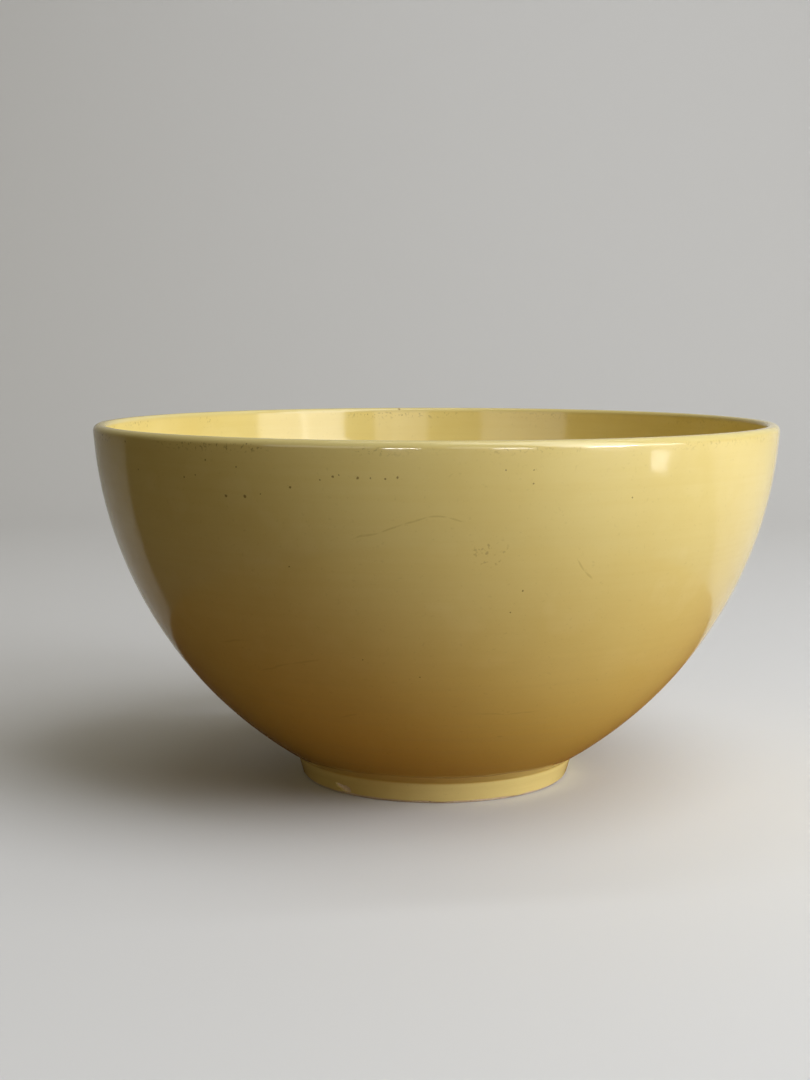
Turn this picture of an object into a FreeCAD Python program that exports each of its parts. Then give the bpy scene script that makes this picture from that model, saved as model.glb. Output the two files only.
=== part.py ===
import FreeCAD, Part
import math
import os
from collections import namedtuple
import PartDesign
import Sketcher

# A glazed earthenware mixing bowl on a low foot ring, in millimetres.
# +Z is up. The origin is on the bowl's axis, at the face that the foot stands on.
# The clay is two turned pieces, the bowl and its foot ring. Three coats of glaze cover it: one
# outside, one inside, and one in the hollow under the base. Only the foot's contact face is bare.
# Every piece is a half section turned once round the axis. In it X is the radius and Y the height.

DIMENSIONS = {
    # the finished outside
    "rim_radius": 140.0,
    "bowl_height": 147.6,
    "shoulder_drop": 2.8,  # from the crest down to the level where rim_radius is measured
    "wall_arc_radius": 169.5,
    "wall_draft": 3.15,  # degrees from upright, at the shoulder
    # the finished lip and inside
    "lip_outer_radius": 2.5,
    "lip_inner_radius": 1.9,
    "lip_seam_radius": 137.2,  # where the outside and inside coats meet, on the crest
    "inner_rim_radius": 135.0,
    "inner_arc_radius": 160.0,
    "inner_draft": 3.0,  # degrees from upright, at the shoulder
    "floor_height": 12.2,
    "floor_blend_radius": 60.0,
    # the foot ring
    "foot_radius": 55.6,  # where its finished outer face would meet the table
    "foot_draft": 14.5,  # degrees from upright, wider towards the top
    "hollow_radius": 49.0,  # where its finished inner face would meet the table
    "hollow_draft": 12.0,  # degrees from upright, narrower towards the top
    "foot_edge_radius": 0.7,
    "base_height": 5.6,
    # the glaze
    "glaze_thickness": 0.4,
    "glaze_stop": 0.9,  # height at which the glaze on the foot ends
    "foot_pool_radius": 1.6,  # round that the glaze forms in the corner above the foot
    "hollow_pool_radius": 1.8,  # the same, in the corner of the hollow under the base
}

CLAY = 0  # a bare surface
GLAZED = 1  # a surface with its coat

ANTICLOCKWISE = 1
CLOCKWISE = -1

ORIGIN = (-1, 1)
LEVEL_AXIS = -1
UPRIGHT_AXIS = -2

doc = FreeCAD.newDocument("mixing_bowl")
sheet = doc.addObject("Spreadsheet::Sheet", "Dims")
for row, (alias, value) in enumerate(DIMENSIONS.items(), start=1):
    sheet.set(f"A{row}", alias)
    sheet.set(f"B{row}", str(value))
    sheet.setAlias(f"B{row}", alias)
doc.recompute()


# A size is a pair: its value now, and the expression that ties it to the sheet.

Size = namedtuple("Size", "value rule")


def cell(alias):
    return float(sheet.get(alias))


def plain(alias):
    return Size(cell(alias), f"Dims.{alias}")


def proud(alias, coats):
    """A size that a coat of glaze adds to, such as the radius of the outside wall."""
    if coats == GLAZED:
        return plain(alias)
    return Size(cell(alias) - cell("glaze_thickness"), f"Dims.{alias} - Dims.glaze_thickness")


def sunk(alias, coats):
    """A size that a coat of glaze takes from, such as the radius of the inside wall."""
    if coats == GLAZED:
        return plain(alias)
    return Size(cell(alias) + cell("glaze_thickness"), f"Dims.{alias} + Dims.glaze_thickness")


# The walls are one arc each, set by a radius and a draft at the shoulder. The faces of the foot
# ring are straight, and side says whether one looks away from the axis or towards it.

Wall = namedtuple("Wall", "rim arc draft coated")
Face = namedtuple("Face", "foot draft side")

OUTER_WALL = Wall("rim_radius", "wall_arc_radius", "wall_draft", proud)
INNER_WALL = Wall("inner_rim_radius", "inner_arc_radius", "inner_draft", sunk)
OUTER_FACE = Face("foot_radius", "foot_draft", 1)
INNER_FACE = Face("hollow_radius", "hollow_draft", -1)


def wall_centre(wall):
    lean = math.radians(cell(wall.draft))
    shoulder = cell("bowl_height") - cell("shoulder_drop")
    return cell(wall.rim) - cell(wall.arc) * math.cos(lean), shoulder + cell(wall.arc) * math.sin(lean)


def off_wall(wall, coats, gap, level):
    """The point at a level that lies a gap outside a wall's arc, or inside it if negative."""
    centre = wall_centre(wall)
    reach = wall.coated(wall.arc, coats).value + gap
    return centre[0] + math.sqrt(reach**2 - (level - centre[1]) ** 2), level


def on_wall(wall, coats, point):
    """The point of a wall's arc that is nearest to a point."""
    centre = wall_centre(wall)
    share = wall.coated(wall.arc, coats).value / math.dist(centre, point)
    return tuple(c + (p - c) * share for c, p in zip(centre, point))


def off_face(face, coats, gap, level):
    """The point at a level that lies a gap clear of a face, or within the clay if negative."""
    lean = math.radians(cell(face.draft))
    bare = (1 - coats) * cell("glaze_thickness")
    return cell(face.foot) + face.side * (level * math.tan(lean) + (gap - bare) / math.cos(lean)), level


def on_face(face, coats, gap, level):
    """The point of a face that is nearest to that point."""
    lean = math.radians(cell(face.draft))
    point = off_face(face, coats, gap, level)
    return point[0] - face.side * gap * math.cos(lean), level + gap * math.sin(lean)


def foot_corner(coats, gap):
    """The point that lies a gap clear of both the outer wall and the foot's outer face."""
    low, high = 0.0, 2 * cell("base_height")
    for _ in range(40):
        level = (low + high) / 2
        if off_wall(OUTER_WALL, coats, gap, level)[0] < off_face(OUTER_FACE, coats, gap, level)[0]:
            low = level
        else:
            high = level
    return off_wall(OUTER_WALL, coats, gap, low)


# Centres of the rounds at the lip and floor. Clay and glaze share them.
LIP = proud("lip_outer_radius", GLAZED).value
OUTER_LIP = off_wall(OUTER_WALL, GLAZED, -LIP, cell("bowl_height") - LIP)
INNER_LIP_RADIUS = cell("lip_inner_radius")
INNER_LIP = off_wall(INNER_WALL, GLAZED, INNER_LIP_RADIUS, cell("bowl_height") - INNER_LIP_RADIUS)
BLEND = cell("floor_blend_radius")
FLOOR_BLEND = off_wall(INNER_WALL, GLAZED, -BLEND, cell("floor_height") + BLEND)

# The clay's underside, and the corner where the bowl's wall stops and its flat base begins.
CLAY_BASE = sunk("base_height", CLAY)
BASE_EDGE = off_wall(OUTER_WALL, CLAY, 0, CLAY_BASE.value)


class Section:
    """A closed half section: lines and arcs drawn end to end, each held to the one before."""

    def __init__(self, name, start):
        self.body = doc.addObject("PartDesign::Body", name)
        self.body.Label = name
        self.sketch = self.body.newObject("Sketcher::SketchObject", name + "_section")
        plane = next(f for f in self.body.Origin.OriginFeatures if f.Role == "XZ_Plane")
        self.sketch.AttachmentSupport = [(plane, "")]
        self.sketch.MapMode = "FlatFace"
        self.here = start
        self.edges = []  # (number, first point, last point), in drawing order

    def hold(self, *terms):
        return self.sketch.addConstraint(Sketcher.Constraint(*terms))

    def bind(self, size, *terms):
        number = self.hold(*terms, size.value)
        self.sketch.setExpression(f"Constraints[{number}]", size.rule)

    def meet(self, before, after, smooth):
        self.hold("Tangent" if smooth else "Coincident", before[0], before[2], after[0], after[1])

    def add(self, shape, first, last, end, smooth):
        edge = (self.sketch.addGeometry(shape, False), first, last)
        if self.edges:
            self.meet(self.edges[-1], edge, smooth)
        self.edges.append(edge)
        self.here = end
        return edge[0]

    def line(self, end, smooth=False):
        shape = Part.LineSegment(FreeCAD.Vector(*self.here, 0), FreeCAD.Vector(*end, 0))
        return self.add(shape, 1, 2, end, smooth)

    def level_line(self, reach, height, smooth=False):
        """A level line at a bound height, to a radius."""
        number = self.line((reach, height.value), smooth)
        self.hold("Horizontal", number)
        self.bind(height, "DistanceY", *ORIGIN, number, 2)

    def table_line(self, reach):
        """A line along the face that the foot stands on, to a radius."""
        number = self.line((reach, 0))
        self.hold("Horizontal", number)
        self.hold("PointOnObject", number, 2, LEVEL_AXIS)

    def axis_line(self, height):
        """A line on the bowl's axis, to a height."""
        number = self.line((0, height))
        self.hold("PointOnObject", number, 1, UPRIGHT_AXIS)
        self.hold("PointOnObject", number, 2, UPRIGHT_AXIS)

    def seam_line(self, height):
        """The upright joint between the outside and inside coats, to a height."""
        number = self.line((self.here[0], height))
        self.hold("Vertical", number)
        self.bind(plain("lip_seam_radius"), "DistanceX", *ORIGIN, number, 2)

    def face_line(self, face, coats, end, smooth=False):
        """A line up or down a face of the foot ring, to a point."""
        start = 90 if end[1] > self.here[1] else -90
        turn = start - face.side * cell(face.draft)
        number = self.line(end, smooth)
        rule = f"{start} deg - {face.side} * Dims.{face.draft} * 1 deg"
        self.bind(Size(math.radians(turn), rule), "Angle", number)
        reach = off_face(face, coats, 0, 0)[0]
        bare = f"{face.side * (1 - coats)} * Dims.glaze_thickness / cos(Dims.{face.draft} * 1 deg)"
        mark = self.sketch.addGeometry(Part.Point(FreeCAD.Vector(reach, 0, 0)), True)
        self.hold("PointOnObject", mark, 1, number)
        self.hold("PointOnObject", mark, 1, LEVEL_AXIS)
        self.bind(Size(reach, f"Dims.{face.foot} - {bare}"), "DistanceX", *ORIGIN, mark, 1)

    def arc(self, centre, radius, end, turn, smooth=True):
        """An arc of a bound radius, either way about a centre, to a point."""
        here, there = (math.atan2(p[1] - centre[1], p[0] - centre[0]) for p in (self.here, end))
        low, high = (here, there) if turn == ANTICLOCKWISE else (there, here)
        if high < low:
            high += 2 * math.pi
        circle = Part.Circle(FreeCAD.Vector(*centre, 0), FreeCAD.Vector(0, 0, 1), radius.value)
        first, last = (1, 2) if turn == ANTICLOCKWISE else (2, 1)
        number = self.add(Part.ArcOfCircle(circle, low, high), first, last, end, smooth)
        self.bind(radius, "Radius", number)
        return number

    def wall_arc(self, wall, coats, end, turn, smooth=True):
        """An arc of a wall, its centre held by the radius and draft at the shoulder."""
        centre = wall_centre(wall)
        number = self.arc(centre, wall.coated(wall.arc, coats), end, turn, smooth)
        lean = f"Dims.{wall.draft} * 1 deg"
        inset = f"Dims.{wall.arc} * cos({lean}) - Dims.{wall.rim}"
        rise = f"Dims.bowl_height - Dims.shoulder_drop + Dims.{wall.arc} * sin({lean})"
        self.bind(Size(-centre[0], inset), "DistanceX", number, 3, *ORIGIN)
        self.bind(Size(centre[1], rise), "DistanceY", *ORIGIN, number, 3)

    def turned(self, smooth=False):
        """Joins the last edge to the first and turns the section round the axis."""
        self.meet(self.edges[-1], self.edges[0], smooth)
        solid = self.body.newObject("PartDesign::Revolution", self.body.Name + "_turned")
        solid.Profile = self.sketch
        solid.ReferenceAxis = (self.sketch, ["V_Axis"])
        solid.Angle = 360
        self.body.Placement = FreeCAD.Placement()
        return self.body


def crest_point(centre, coats):
    return centre[0], proud("bowl_height", coats).value


def bowl_body():
    """The clay bowl: a flat base, a wall that is one arc outside, and a rounded lip."""
    section = Section("bowl_body", (0, CLAY_BASE.value))
    floor = proud("floor_height", CLAY)
    outer_round = proud("lip_outer_radius", CLAY)
    inner_round = proud("lip_inner_radius", CLAY)
    section.level_line(BASE_EDGE[0], CLAY_BASE)
    section.wall_arc(OUTER_WALL, CLAY, on_wall(OUTER_WALL, CLAY, OUTER_LIP), ANTICLOCKWISE, smooth=False)
    section.arc(OUTER_LIP, outer_round, crest_point(OUTER_LIP, CLAY), ANTICLOCKWISE)
    section.level_line(INNER_LIP[0], proud("bowl_height", CLAY), smooth=True)
    section.arc(INNER_LIP, inner_round, on_wall(INNER_WALL, CLAY, INNER_LIP), ANTICLOCKWISE)
    section.wall_arc(INNER_WALL, CLAY, on_wall(INNER_WALL, CLAY, FLOOR_BLEND), CLOCKWISE)
    section.arc(FLOOR_BLEND, sunk("floor_blend_radius", CLAY), (FLOOR_BLEND[0], floor.value), CLOCKWISE)
    section.level_line(0, floor, smooth=True)
    section.axis_line(CLAY_BASE.value)
    return section.turned()


def foot_ring():
    """The clay ring under the bowl, fitted to its wall and base and rounded where it stands."""
    edge = plain("foot_edge_radius")
    outer, inner = (off_face(face, CLAY, -edge.value, edge.value) for face in (OUTER_FACE, INNER_FACE))
    section = Section("foot_ring", (inner[0], 0))
    section.table_line(outer[0])
    section.arc(outer, edge, on_face(OUTER_FACE, CLAY, -edge.value, edge.value), ANTICLOCKWISE)
    section.face_line(OUTER_FACE, CLAY, foot_corner(CLAY, 0), smooth=True)
    section.wall_arc(OUTER_WALL, CLAY, BASE_EDGE, CLOCKWISE, smooth=False)
    section.level_line(off_face(INNER_FACE, CLAY, 0, CLAY_BASE.value)[0], CLAY_BASE)
    section.face_line(INNER_FACE, CLAY, on_face(INNER_FACE, CLAY, -edge.value, edge.value))
    section.arc(inner, edge, (inner[0], 0), ANTICLOCKWISE)
    return section.turned(smooth=True)


def outside_glaze():
    """The coat from the crest of the lip down the wall and the foot, pooled in their corner."""
    stop = plain("glaze_stop")
    pool = plain("foot_pool_radius")
    pool_centre = foot_corner(GLAZED, pool.value)
    coat_round = proud("lip_outer_radius", GLAZED)
    clay_round = proud("lip_outer_radius", CLAY)
    section = Section("outside_glaze", off_face(OUTER_FACE, CLAY, 0, stop.value))
    section.level_line(off_face(OUTER_FACE, GLAZED, 0, stop.value)[0], stop)
    section.face_line(OUTER_FACE, GLAZED, on_face(OUTER_FACE, GLAZED, pool.value, pool_centre[1]))
    section.arc(pool_centre, pool, on_wall(OUTER_WALL, GLAZED, pool_centre), CLOCKWISE)
    section.wall_arc(OUTER_WALL, GLAZED, on_wall(OUTER_WALL, GLAZED, OUTER_LIP), ANTICLOCKWISE)
    section.arc(OUTER_LIP, coat_round, crest_point(OUTER_LIP, GLAZED), ANTICLOCKWISE)
    section.level_line(cell("lip_seam_radius"), proud("bowl_height", GLAZED), smooth=True)
    section.seam_line(proud("bowl_height", CLAY).value)
    section.level_line(OUTER_LIP[0], proud("bowl_height", CLAY))
    section.arc(OUTER_LIP, clay_round, on_wall(OUTER_WALL, CLAY, OUTER_LIP), CLOCKWISE)
    section.wall_arc(OUTER_WALL, CLAY, foot_corner(CLAY, 0), CLOCKWISE)
    section.face_line(OUTER_FACE, CLAY, off_face(OUTER_FACE, CLAY, 0, stop.value))
    return section.turned()


def inside_glaze():
    """The coat from the crest of the lip down the inner wall and across the floor."""
    clay_floor = proud("floor_height", CLAY)
    coat_floor = proud("floor_height", GLAZED)
    clay_blend = sunk("floor_blend_radius", CLAY)
    coat_blend = sunk("floor_blend_radius", GLAZED)
    clay_round = proud("lip_inner_radius", CLAY)
    coat_round = proud("lip_inner_radius", GLAZED)
    section = Section("inside_glaze", (0, clay_floor.value))
    section.level_line(FLOOR_BLEND[0], clay_floor)
    section.arc(FLOOR_BLEND, clay_blend, on_wall(INNER_WALL, CLAY, FLOOR_BLEND), ANTICLOCKWISE)
    section.wall_arc(INNER_WALL, CLAY, on_wall(INNER_WALL, CLAY, INNER_LIP), ANTICLOCKWISE)
    section.arc(INNER_LIP, clay_round, crest_point(INNER_LIP, CLAY), CLOCKWISE)
    section.level_line(cell("lip_seam_radius"), proud("bowl_height", CLAY), smooth=True)
    section.seam_line(proud("bowl_height", GLAZED).value)
    section.level_line(INNER_LIP[0], proud("bowl_height", GLAZED))
    section.arc(INNER_LIP, coat_round, on_wall(INNER_WALL, GLAZED, INNER_LIP), ANTICLOCKWISE)
    section.wall_arc(INNER_WALL, GLAZED, on_wall(INNER_WALL, GLAZED, FLOOR_BLEND), CLOCKWISE)
    section.arc(FLOOR_BLEND, coat_blend, (FLOOR_BLEND[0], coat_floor.value), CLOCKWISE)
    section.level_line(0, coat_floor, smooth=True)
    section.axis_line(clay_floor.value)
    return section.turned()


def base_glaze():
    """The coat in the hollow under the base, down the foot ring's inner face."""
    stop = plain("glaze_stop")
    pool = plain("hollow_pool_radius")
    base = sunk("base_height", GLAZED)
    level = base.value - pool.value
    pool_centre = off_face(INNER_FACE, GLAZED, pool.value, level)
    section = Section("base_glaze", (0, base.value))
    section.level_line(pool_centre[0], base)
    section.arc(pool_centre, pool, on_face(INNER_FACE, GLAZED, pool.value, level), CLOCKWISE)
    section.face_line(INNER_FACE, GLAZED, off_face(INNER_FACE, GLAZED, 0, stop.value), smooth=True)
    section.level_line(off_face(INNER_FACE, CLAY, 0, stop.value)[0], stop)
    section.face_line(INNER_FACE, CLAY, off_face(INNER_FACE, CLAY, 0, CLAY_BASE.value))
    section.level_line(0, CLAY_BASE)
    section.axis_line(base.value)
    return section.turned()


pieces = [bowl_body(), foot_ring(), outside_glaze(), inside_glaze(), base_glaze()]
doc.recompute()

for item in doc.Objects:
    if "Invalid" in item.State or "Error" in item.State:
        raise RuntimeError(f"{item.Label} did not compute: {item.State}")
for piece in pieces:
    if piece.Shape.isNull() or not piece.Shape.isValid() or len(piece.Shape.Solids) != 1:
        raise RuntimeError(f"{piece.Label} is not one sound solid")

os.makedirs("parts", exist_ok=True)
for piece in pieces:
    piece.Shape.exportStep(f"parts/{piece.Label}.step")
    box = piece.Shape.BoundBox
    print(f"{piece.Label}: {piece.Shape.Volume / 1000:.1f} cm3, z {box.ZMin:.2f} to {box.ZMax:.2f}")
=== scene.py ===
import math

import bmesh
import bpy
import numpy as np
from mathutils import Matrix, Vector, noise


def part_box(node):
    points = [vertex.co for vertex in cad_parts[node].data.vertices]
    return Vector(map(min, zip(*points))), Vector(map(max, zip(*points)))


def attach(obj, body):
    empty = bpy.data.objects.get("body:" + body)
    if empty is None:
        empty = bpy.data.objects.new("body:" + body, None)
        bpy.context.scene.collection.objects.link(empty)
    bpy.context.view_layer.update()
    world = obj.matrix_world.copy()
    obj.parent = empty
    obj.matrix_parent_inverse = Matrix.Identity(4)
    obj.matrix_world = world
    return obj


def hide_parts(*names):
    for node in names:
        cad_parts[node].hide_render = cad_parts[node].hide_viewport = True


# A glossy pale yellow glazed earthenware mixing bowl, in metres, in the CAD frame: +Z is up, and
# the origin is on the bowl's axis at the face that the foot stands on. Every piece is turned from
# a half section of (radius, height) points. The three coats of glaze are nearly all of what shows.

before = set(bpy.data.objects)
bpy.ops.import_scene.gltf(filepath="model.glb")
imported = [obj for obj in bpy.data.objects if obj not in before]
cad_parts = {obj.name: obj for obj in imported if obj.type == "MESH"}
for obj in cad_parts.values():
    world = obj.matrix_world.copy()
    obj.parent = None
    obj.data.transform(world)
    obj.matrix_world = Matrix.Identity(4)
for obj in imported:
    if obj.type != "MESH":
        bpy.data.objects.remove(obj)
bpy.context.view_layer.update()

# The outside coat reaches the rim and the crest, and the others give the inner levels.
COAT_LOW, COAT_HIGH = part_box("outside_glaze")
BODY_LOW, BODY_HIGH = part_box("bowl_body")
RING_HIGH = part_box("foot_ring")[1]
INSIDE_LOW, INSIDE_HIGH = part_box("inside_glaze")
BASE_LOW, BASE_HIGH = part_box("base_glaze")

WIDEST = COAT_HIGH.x
CREST = COAT_HIGH.z
GLAZE = COAT_HIGH.z - BODY_HIGH.z
GLAZE_STOP = COAT_LOW.z
SEAM_RADIUS = INSIDE_HIGH.x
CLAY_FLOOR = INSIDE_LOW.z
CLAY_BASE = BODY_LOW.z

# Radii and widths of the surfaces as glazed, and how far each face leans from upright.
WALL_ARC = 0.1695  # the outside wall
WALL_LEAN = math.radians(3.093)  # where the outside wall meets the lip
INNER_ARC = 0.160  # the inside wall
INNER_LEAN = math.radians(2.646)  # where the inside wall meets the lip
LIP_OUTER = 0.0025
LIP_INNER = 0.0019
LIP_WIDTH = 0.00496
FLOOR_BLEND = 0.060  # between the inside wall and the floor
FOOT_LEAN = math.radians(14.5)  # the foot's outer face
HOLLOW_LEAN = math.radians(12.0)  # the foot's inner face
FOOT_EDGE = 0.0007  # the clay's edges that the foot stands on
FOOT_POOL = 0.0016  # the pool of glaze between the wall and the foot
HOLLOW_POOL = 0.0018  # the one between the base and the foot
COAT_EDGE = GLAZE * 0.6  # the lower edges of the coats on the foot

COLUMNS = 480  # round the bowl
SHARP_EDGE = math.radians(40)
SAME_POINT = 1e-7  # points nearer to each other than this are one
ON_AXIS = 1e-9  # a point nearer to the axis than this is on it
HALVINGS = 40  # of the range in which the foot pool's level is looked for
# The longest steps along a section.
FINE = 0.0016  # the walls
FOOT_STEP = FINE / 2
BASE_STEP = FINE * 1.5
FLOOR_STEP = FINE * 2
LIP_STEP = FINE / 5  # the lip, and the pools of glaze
HIDDEN_LIP_STEP = LIP_STEP * 2
COARSE = 0.006  # whatever else another piece covers
STANDING_STEP = LIP_STEP * 2  # the face that the foot stands on
COAT_EDGE_STEP = COAT_EDGE / 4
FOOT_EDGE_STEP = FOOT_EDGE / 5

# Marks on the outside: (angle round the axis in degrees, height, size), -90 facing the front.
PITS = [
    (-145.1, 0.1438, 0.0007), (-117.6, 0.1457, 0.0006), (-141.6, 0.1339, 0.0006),
    (-129.9, 0.1328, 0.0007), (-125.2, 0.1394, 0.0006), (-119.6, 0.1375, 0.0006),
    (-121.9, 0.1271, 0.0010), (-118.5, 0.1273, 0.0011), (-110.9, 0.1312, 0.0008),
    (-104.4, 0.1353, 0.0007), (-100.8, 0.1350, 0.0009), (-99.0, 0.1350, 0.0006),
    (-95.2, 0.1353, 0.0008), (-112.5, 0.1029, 0.0005), (-80.2, 0.1378, 0.0005),
    (-76.2, 0.1331, 0.0006), (-76.5, 0.0952, 0.0006), (-127.5, 0.1338, 0.0005),
    (-115.8, 0.1284, 0.0005), (-106.3, 0.1341, 0.0005), (-103.5, 0.1359, 0.0005),
    (-96.9, 0.1348, 0.0006), (-76.2, 0.1377, 0.0005), (-60.4, 0.1270, 0.0005),
    (-78.1, 0.0873, 0.0005), (-102.6, 0.0686, 0.0005), (-92.7, 0.0621, 0.0005),
]
RIM_PIT = (97.6, 0.0012)  # the angle and size of the one inside the rim, at the back
RIM_PIT_IN = LIP_INNER * 0.9  # how far it lies in from the seam between the coats
RIM_PIT_DOWN = LIP_INNER * 0.25  # and under the crest
# Hairlines and scratches on the outside: (angle, height) at each end, then how strong.
LINES = [
    ((-102.3, 0.1138), (-97.9, 0.1165), 0.52),
    ((-97.9, 0.1165), (-94.3, 0.1191), 0.59),
    ((-94.3, 0.1191), (-91.1, 0.1221), 0.65),
    ((-91.1, 0.1221), (-88.3, 0.1221), 0.65),
    ((-88.3, 0.1221), (-85.8, 0.1204), 0.52),
    ((-132.4, 0.0701), (-124.2, 0.0728), 0.39),
    ((-125.1, 0.0603), (-117.1, 0.0649), 0.39),
    ((-117.1, 0.0649), (-110.6, 0.0675), 0.39),
    ((-68.4, 0.1061), (-66.8, 0.1015), 0.65),
    ((-66.8, 0.1015), (-65.1, 0.0980), 0.65),
    ((-110.8, 0.0427), (-105.8, 0.0451), 0.33),
    ((-81.7, 0.0461), (-75.2, 0.0450), 0.33),
    ((-75.2, 0.0450), (-67.6, 0.0462), 0.33),
    ((-75.5, 0.0348), (-73.8, 0.0345), 0.39),
]
LINE_WIDTH = 0.0009
STROKE_OVERLAP = 1.2  # a stroke's length over that between its ends, because it tapers
MARK_DEPTH = 0.004  # how far a mark reaches in, which is less than the wall's thickness
SCUFF = (-82.0, 0.1097, 0.0075)  # angle, height and reach of the speckled patch
CHIP = (-129.8, 0.0027)  # angle and height of the chip in the foot
CHIP_REACH = (0.0048, 0.0017, 0.0020)  # half its length, half its width, and the tool's half depth
CHIP_SLANT = math.radians(15)
CHIP_OUT = 0.45  # how far the tool's middle lies out of the foot's face, over its half depth
PEBBLE_DETAIL = 5  # how often the faces of the tool are split
PEBBLE_LUMPS = (1.7, 0.25)  # how many lumps the tool has, and how high they are
PEBBLE_GRIT = (6.0, 0.06)  # the same, for the small ones
PEBBLE_GRIT_FROM = Vector((3, 1, 7))  # where in the noise the small ones come from


# ---------------------------------------------------------------- sections


def step_count(length, step):
    return max(2, math.ceil(length / step) + 1)


def line(start, end, step):
    """Points along a straight line."""
    count = step_count(math.dist(start, end), step)
    return [tuple(p) for p in np.linspace(start, end, count)]


def arc(centre, radius, start, end, step):
    """Points along an arc, from one angle to another, either way."""
    count = step_count(abs(end - start) * radius, step)
    turns = np.linspace(start, end, count)
    return [(centre[0] + radius * math.cos(t), centre[1] + radius * math.sin(t)) for t in turns]


def bearing(centre, point):
    return math.atan2(point[1] - centre[1], point[0] - centre[0])


def beyond(point, direction, reach):
    return point[0] + reach * math.cos(direction), point[1] + reach * math.sin(direction)


def wall_at(centre, radius, level):
    """The radius from the axis at which a wall's arc passes a level."""
    return centre[0] + math.sqrt(radius**2 - (level - centre[1]) ** 2)


# Centres of the section's arcs, which a clay surface and its coat share.
LIP_CENTRE = (WIDEST - LIP_OUTER, CREST - LIP_OUTER)
WALL_CENTRE = beyond(LIP_CENTRE, math.pi - WALL_LEAN, WALL_ARC - LIP_OUTER)
INNER_LIP_CENTRE = (WIDEST - LIP_WIDTH + LIP_INNER, CREST - LIP_INNER)
INNER_CENTRE = beyond(INNER_LIP_CENTRE, math.pi - INNER_LEAN, INNER_ARC + LIP_INNER)
FLOOR = CLAY_FLOOR + GLAZE
BLEND_LEVEL = FLOOR + FLOOR_BLEND
BLEND_CENTRE = (wall_at(INNER_CENTRE, INNER_ARC - FLOOR_BLEND, BLEND_LEVEL), BLEND_LEVEL)
BLEND_BEARING = bearing(INNER_CENTRE, BLEND_CENTRE)
BASE = CLAY_BASE - GLAZE


def foot_face(level, out=0.0):
    """Radius of the clay foot's outer face at a level, or of a surface that far outside it."""
    return RING_HIGH.x - (RING_HIGH.z - level) * math.tan(FOOT_LEAN) + out / math.cos(FOOT_LEAN)


def hollow_face(level, out=0.0):
    """Radius of the clay foot's inner face at a level, or of a surface that far in front of it."""
    return BASE_HIGH.x - (level - BASE_LOW.z) * math.tan(HOLLOW_LEAN) - out / math.cos(HOLLOW_LEAN)


def pool_centre():
    """Centre of the round that the glaze makes in the corner between the wall and the foot."""
    low, high = 0.0, 2 * RING_HIGH.z
    for _ in range(HALVINGS):
        level = (low + high) / 2
        wall = wall_at(WALL_CENTRE, WALL_ARC + FOOT_POOL, level)
        if wall < foot_face(level, GLAZE + FOOT_POOL):
            low = level
        else:
            high = level
    return wall_at(WALL_CENTRE, WALL_ARC + FOOT_POOL, low), low


def joined(*runs):
    """One list of points from runs laid end to end, without the points that repeat."""
    points = []
    for run in runs:
        for point in run:
            if not points or math.dist(points[-1], point) > SAME_POINT:
                points.append(point)
    return points


def outer_lip(coat, start, end, step):
    """The outer round of the lip, with this much glaze on the clay."""
    return arc(LIP_CENTRE, LIP_OUTER - GLAZE + coat, start, end, step)


def inner_lip(coat, start, end, step):
    """The inner round of the lip, with this much glaze on the clay."""
    return arc(INNER_LIP_CENTRE, LIP_INNER - GLAZE + coat, start, end, step)


def outside_section():
    """The outside coat: what shows first, from the foot to the seam, then the side on the clay."""
    pool = pool_centre()
    stop = (foot_face(GLAZE_STOP), GLAZE_STOP)
    edge_start = (foot_face(GLAZE_STOP, GLAZE - COAT_EDGE), GLAZE_STOP)
    face_low = (foot_face(GLAZE_STOP + COAT_EDGE, GLAZE), GLAZE_STOP + COAT_EDGE)
    edge_centre = (face_low[0] - COAT_EDGE, face_low[1])
    face_top = beyond(pool, math.pi + FOOT_LEAN, FOOT_POOL)
    shown = joined(
        line(stop, edge_start, LIP_STEP),
        arc(edge_centre, COAT_EDGE, -math.pi / 2, -FOOT_LEAN, COAT_EDGE_STEP),
        line(face_low, face_top, FOOT_STEP),
        arc(pool, FOOT_POOL, math.pi - FOOT_LEAN, bearing(pool, WALL_CENTRE), LIP_STEP),
        arc(WALL_CENTRE, WALL_ARC, bearing(WALL_CENTRE, pool), -WALL_LEAN, FINE),
        outer_lip(GLAZE, -WALL_LEAN, math.pi / 2, LIP_STEP),
        line((LIP_CENTRE[0], CREST), (SEAM_RADIUS, CREST), LIP_STEP),
    )
    hidden = joined(
        [(SEAM_RADIUS, CREST - GLAZE), (LIP_CENTRE[0], CREST - GLAZE)],
        outer_lip(0, math.pi / 2, -WALL_LEAN, HIDDEN_LIP_STEP),
        clay_wall(-WALL_LEAN, bearing(WALL_CENTRE, (RING_HIGH.x, RING_HIGH.z))),
        line((RING_HIGH.x, RING_HIGH.z), stop, COARSE),
    )
    return shown, hidden[:-1]


def clay_wall(start, end):
    return arc(WALL_CENTRE, WALL_ARC - GLAZE, start, end, COARSE)


def inside_section():
    """The inside coat: what shows first, from the seam down to the middle of the floor."""
    shown = joined(
        line((SEAM_RADIUS, CREST), (INNER_LIP_CENTRE[0], CREST), LIP_STEP),
        inner_lip(GLAZE, math.pi / 2, math.pi - INNER_LEAN, LIP_STEP),
        arc(INNER_CENTRE, INNER_ARC, -INNER_LEAN, BLEND_BEARING, FINE),
        arc(BLEND_CENTRE, FLOOR_BLEND, BLEND_BEARING, -math.pi / 2, FINE),
        line((BLEND_CENTRE[0], FLOOR), (0.0, FLOOR), FLOOR_STEP),
    )
    hidden = joined(
        line((0.0, CLAY_FLOOR), (BLEND_CENTRE[0], CLAY_FLOOR), COARSE),
        clay_inside(),
        [(SEAM_RADIUS, CREST - GLAZE)],
    )
    return shown, hidden


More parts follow.
